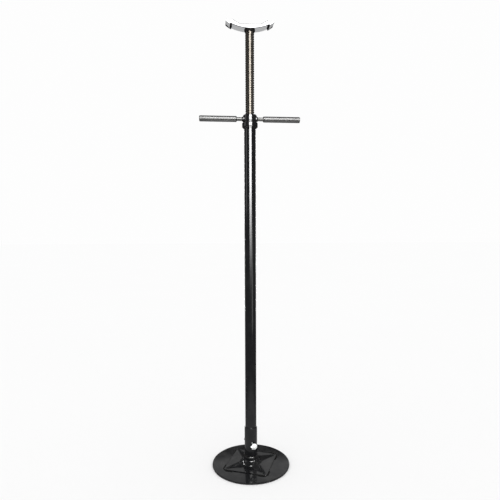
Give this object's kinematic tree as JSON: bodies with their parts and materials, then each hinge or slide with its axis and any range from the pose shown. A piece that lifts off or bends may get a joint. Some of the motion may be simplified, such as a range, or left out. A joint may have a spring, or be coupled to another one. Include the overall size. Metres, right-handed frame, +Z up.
{
  "type": "high-reach support stand",
  "caption": "Tall screw-adjusted support stand: round floor plate, gusseted socket, tube, two-handled spinner nut on a thrust bearing and a curved saddle.",
  "frame": {"origin": "middle of the floor plate's underside, on the floor, on the screw's axis", "axes": "+Z up along the screw; X along the saddle's length and the handles; the cross bolt's head faces about -Y"},
  "size_m": [0.368, 0.298, 1.651],
  "materials": {
    "black_enamel": "glossy black enamel",
    "gusset_enamel": "glossy black enamel",
    "weld_black": "glossy black enamel over weld beads",
    "socket_enamel": "glossy black enamel",
    "socket_weld": "glossy black enamel over a weld bead",
    "tube_enamel": "glossy black enamel",
    "bolt_zinc": "bright zinc",
    "washer_zinc": "bright zinc",
    "nut_zinc": "bright zinc",
    "cap_enamel": "black enamel",
    "race_steel": "ground bearing steel",
    "cage_brass": "pressed brass",
    "ball_steel": "polished bearing steel",
    "upper_race_steel": "ground bearing steel",
    "nut_enamel": "glossy black enamel",
    "rod_steel_left": "bare turned steel",
    "rod_steel_right": "bare turned steel",
    "grip_steel_left": "knurled bare steel",
    "grip_steel_right": "knurled bare steel",
    "screw_steel": "dark oiled steel",
    "stop_zinc": "zinc",
    "stop_bolt_zinc": "zinc",
    "saddle_weld": "black touched-up weld",
    "saddle_chrome": "bright chrome plate",
    "end_weld": "black touched-up weld"
  },
  "bodies": {
    "stand": {"base_plate": "black_enamel", "base_gusset": "gusset_enamel", "gusset_welds": "weld_black", "post_socket": "socket_enamel", "socket_weld": "socket_weld", "post_tube": "tube_enamel", "socket_bolt": "bolt_zinc", "bolt_washer": "washer_zinc", "bolt_nut": "nut_zinc", "post_cap": "cap_enamel", "lower_race": "race_steel"},
    "nut": {"spinner_nut": "nut_enamel", "rod_left": "rod_steel_left", "rod_right": "rod_steel_right", "grip_left": "grip_steel_left", "grip_right": "grip_steel_right", "upper_race": "upper_race_steel"},
    "cage": {"ball_cage": "cage_brass", "bearing_balls": "ball_steel"},
    "screw": {"lift_screw": "screw_steel", "stop_washer": "stop_zinc", "stop_bolt": "stop_bolt_zinc", "saddle_weld": "saddle_weld", "saddle": "saddle_chrome", "end_welds": "end_weld"}
  },
  "joints": [
    {"name": "nut_spin", "type": "hinge", "parent": "stand", "child": "nut", "pos_m": [0, 0, 1.31], "axis": [0, 0, -1], "range_deg": [-12600, 16200]},
    {"name": "screw_lift", "type": "slide", "parent": "stand", "child": "screw", "axis": [0, 0, 1], "range_m": [-0.2803, 0.3605]},
    {"name": "cage_spin", "type": "hinge", "parent": "stand", "child": "cage", "pos_m": [0, 0, 1.2855], "axis": [0, 0, -1], "range_deg": [-6302, 8102]}
  ],
  "couplings": [
    {"joint": "screw_lift", "follows": "nut_spin", "m_per_rad": 0.0012732},
    {"joint": "cage_spin", "follows": "nut_spin", "ratio": 0.5}
  ]
}
